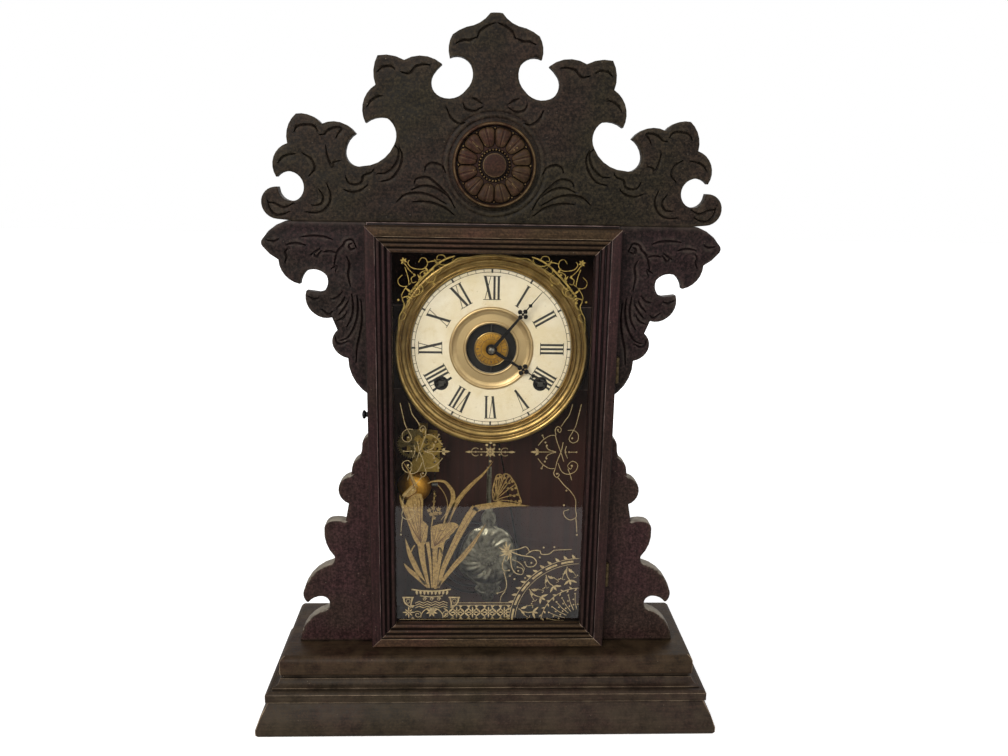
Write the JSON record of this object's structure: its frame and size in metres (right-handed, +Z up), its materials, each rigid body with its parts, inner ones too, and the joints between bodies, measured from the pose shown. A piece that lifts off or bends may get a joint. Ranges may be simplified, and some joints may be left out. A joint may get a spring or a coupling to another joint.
{
  "type": "gingerbread clock",
  "caption": "Tall mantel clock with a fretted crest and ears, a glazed reeded door, a round dial, and a geared movement with pendulum, coiled gong and alarm.",
  "frame": {"origin": "centre of the base footprint, on the surface the clock stands on", "axes": "+Z is up, -Y is the way the door and dial face, +X is to the right as seen from the front"},
  "size_m": [0.384, 0.112, 0.572],
  "materials": {
    "base_wood": "aged dark brown finish, worn lighter at the edges",
    "case_wood": "ebonised, pressed and stippled, slight sheen",
    "door_wood": "aged dark reddish finish",
    "back_wood": "plain softwood",
    "rosette_wood": "worn reddish brown",
    "glass": "clear, with stencilled gilt ornament in the lower part",
    "dark_metal": "dark",
    "hinge_brass": "tarnished",
    "dial_paper": "aged paper on a metal pan",
    "bezel_brass": "aged satin",
    "movement_brass": "dull",
    "blued_steel": "dark oxide",
    "steel": "dull",
    "bob_silver": "pressed, dull silvery",
    "gong_iron": "dark",
    "bell_brass": "aged"
  },
  "bodies": {
    "case": {"plinth_front": "base_wood", "plinth_left": "base_wood", "plinth_right": "base_wood", "base_moulding": "base_wood", "base_deck": "base_wood", "case_left_side": "case_wood", "case_right_side": "case_wood", "case_top": "case_wood", "back_board": "back_wood", "crest_board": "case_wood", "crest_rosette": "rosette_wood", "ear_upper_left": "case_wood", "ear_upper_right": "case_wood", "ear_lower_left": "case_wood", "ear_lower_right": "case_wood", "hinge_case_leaves": "hinge_brass", "dial_pan": "dial_paper", "dial_bezel": "bezel_brass", "movement_front_plate": "movement_brass", "movement_back_plate": "movement_brass", "mainsprings": "blued_steel", "gong_base": "gong_iron", "gong_coil": "blued_steel", "alarm_frame": "movement_brass", "alarm_bell": "bell_brass"},
    "door": {"door_left_stile": "door_wood", "door_right_stile": "door_wood", "door_top_rail": "door_wood", "door_bottom_rail": "door_wood", "door_glass": "glass", "glass_beads": "door_wood", "door_knob": "dark_metal", "hinge_door_leaves": "hinge_brass"},
    "minute_hand": {"centre_arbor": "steel", "minute_hand": "blued_steel"},
    "hour_hand": {"hour_wheel": "movement_brass", "hour_hand": "blued_steel"},
    "motion_wheel": {"minute_wheel": "movement_brass"},
    "alarm_disc": {"alarm_disc": "bezel_brass"},
    "time_escape": {"escape_wheel": "movement_brass"},
    "time_fourth": {"time_fourth_wheel": "movement_brass"},
    "time_third": {"time_third_wheel": "movement_brass"},
    "time_second": {"time_second_wheel": "movement_brass"},
    "time_great": {"time_great_wheel": "movement_brass"},
    "centre_wheel": {"centre_wheel": "movement_brass"},
    "time_winding": {"time_winding_arbor": "steel"},
    "time_click": {"time_click": "steel"},
    "pendulum": {"pendulum_rod": "steel", "pendulum_bob": "bob_silver"},
    "verge": {"verge": "steel"},
    "strike_fly": {"strike_fly": "movement_brass"},
    "strike_third": {"strike_third_wheel": "movement_brass"},
    "strike_second": {"strike_second_wheel": "movement_brass"},
    "strike_great": {"strike_great_wheel": "movement_brass"},
    "strike_winding": {"strike_winding_arbor": "steel"},
    "strike_click": {"strike_click": "steel"},
    "strike_hammer": {"strike_hammer": "steel"},
    "alarm_escape": {"alarm_escape_wheel": "movement_brass"},
    "alarm_great": {"alarm_great_wheel": "movement_brass"},
    "alarm_hammer": {"alarm_hammer": "steel"}
  },
  "joints": [
    {"name": "door_swing", "type": "hinge", "parent": "case", "child": "door", "pos_m": [0.1005, -0.0135, 0.24], "axis": [0, 0, 1], "range_deg": [0, 100]},
    {"name": "minute_hand_turn", "type": "hinge", "parent": "case", "child": "minute_hand", "pos_m": [0, -0.001, 0.318], "axis": [0, 1, 0], "continuous": true},
    {"name": "motion_wheel_turn", "type": "hinge", "parent": "case", "child": "motion_wheel", "pos_m": [0, 0.017, 0.306], "axis": [0, 1, 0], "continuous": true},
    {"name": "hour_hand_turn", "type": "hinge", "parent": "case", "child": "hour_hand", "pos_m": [0, 0.001, 0.318], "axis": [0, 1, 0], "continuous": true},
    {"name": "alarm_disc_turn", "type": "hinge", "parent": "hour_hand", "child": "alarm_disc", "pos_m": [0, 0.005, 0.318], "axis": [0, 1, 0], "continuous": true},
    {"name": "time_escape_turn", "type": "hinge", "parent": "case", "child": "time_escape", "pos_m": [0, 0.0366, 0.352], "axis": [0, 1, 0], "continuous": true},
    {"name": "time_fourth_turn", "type": "hinge", "parent": "case", "child": "time_fourth", "pos_m": [0.01369, 0.0266, 0.34908], "axis": [0, 1, 0], "continuous": true},
    {"name": "time_third_turn", "type": "hinge", "parent": "case", "child": "time_third", "pos_m": [0.02199, 0.0306, 0.33611], "axis": [0, 1, 0], "continuous": true},
    {"name": "time_second_turn", "type": "hinge", "parent": "case", "child": "time_second", "pos_m": [0.0243, 0.0194, 0.31765], "axis": [0, 1, 0], "continuous": true},
    {"name": "time_great_turn", "type": "hinge", "parent": "case", "child": "time_great", "pos_m": [0.041, 0.023, 0.2885], "axis": [0, 1, 0], "continuous": true},
    {"name": "centre_wheel_turn", "type": "hinge", "parent": "case", "child": "centre_wheel", "pos_m": [0, 0.0194, 0.318], "axis": [0, 1, 0], "continuous": true},
    {"name": "time_winding", "type": "hinge", "parent": "time_great", "child": "time_winding", "pos_m": [0.041, 0.025, 0.2885], "axis": [0, 1, 0], "continuous": true},
    {"name": "time_click_lift", "type": "hinge", "parent": "time_great", "child": "time_click", "pos_m": [0.0565, 0.025, 0.2945], "axis": [0, 1, 0], "range_deg": [0, 10]},
    {"name": "pendulum_swing", "type": "hinge", "parent": "case", "child": "pendulum", "pos_m": [0, 0.0097, 0.375], "axis": [0, 1, 0], "range_deg": [-4, 4]},
    {"name": "verge_rock", "type": "hinge", "parent": "case", "child": "verge", "pos_m": [0, 0.03, 0.371], "axis": [0, 1, 0], "range_deg": [-4.75, 4.75]},
    {"name": "strike_fly_turn", "type": "hinge", "parent": "case", "child": "strike_fly", "pos_m": [-0.02394, 0.034, 0.3459], "axis": [0, 1, 0], "continuous": true},
    {"name": "strike_third_turn", "type": "hinge", "parent": "case", "child": "strike_third", "pos_m": [-0.02604, 0.0286, 0.33205], "axis": [0, 1, 0], "continuous": true},
    {"name": "strike_second_turn", "type": "hinge", "parent": "case", "child": "strike_second", "pos_m": [-0.0243, 0.0194, 0.31765], "axis": [0, 1, 0], "continuous": true},
    {"name": "strike_great_turn", "type": "hinge", "parent": "case", "child": "strike_great", "pos_m": [-0.041, 0.023, 0.2885], "axis": [0, 1, 0], "continuous": true},
    {"name": "strike_winding", "type": "hinge", "parent": "strike_great", "child": "strike_winding", "pos_m": [-0.041, 0.025, 0.2885], "axis": [0, 1, 0], "continuous": true},
    {"name": "strike_click_lift", "type": "hinge", "parent": "strike_great", "child": "strike_click", "pos_m": [-0.0565, 0.025, 0.2945], "axis": [0, -1, 0], "range_deg": [0, 10]},
    {"name": "strike_hammer_lift", "type": "hinge", "parent": "case", "child": "strike_hammer", "pos_m": [0, 0.039, 0.274], "axis": [0, -1, 0], "range_deg": [0, 12]},
    {"name": "alarm_escape_turn", "type": "hinge", "parent": "case", "child": "alarm_escape", "pos_m": [-0.0504, 0.0184, 0.231], "axis": [0, 1, 0], "continuous": true},
    {"name": "alarm_great_turn", "type": "hinge", "parent": "case", "child": "alarm_great", "pos_m": [-0.066, 0.0206, 0.231], "axis": [0, 1, 0], "continuous": true},
    {"name": "alarm_hammer_lift", "type": "hinge", "parent": "case", "child": "alarm_hammer", "pos_m": [-0.0474, 0.035, 0.214], "axis": [0, -1, 0], "range_deg": [0, 10]}
  ],
  "couplings": [
    {"joint": "motion_wheel_turn", "follows": "minute_hand_turn", "ratio": -0.33333},
    {"joint": "hour_hand_turn", "follows": "minute_hand_turn", "ratio": 0.083333},
    {"joint": "time_fourth_turn", "follows": "time_escape_turn", "ratio": -0.16667},
    {"joint": "time_third_turn", "follows": "time_escape_turn", "ratio": 0.027778},
    {"joint": "time_second_turn", "follows": "time_escape_turn", "ratio": -0.0041152},
    {"joint": "time_great_turn", "follows": "time_escape_turn", "ratio": 0.00068587},
    {"joint": "centre_wheel_turn", "follows": "time_escape_turn", "ratio": 0.0082305},
    {"joint": "verge_rock", "follows": "pendulum_swing", "ratio": 1.1739},
    {"joint": "strike_third_turn", "follows": "strike_fly_turn", "ratio": -0.16667},
    {"joint": "strike_second_turn", "follows": "strike_fly_turn", "ratio": 0.026667},
    {"joint": "strike_great_turn", "follows": "strike_fly_turn", "ratio": -0.0044444},
    {"joint": "alarm_great_turn", "follows": "alarm_escape_turn", "ratio": -0.2}
  ]
}
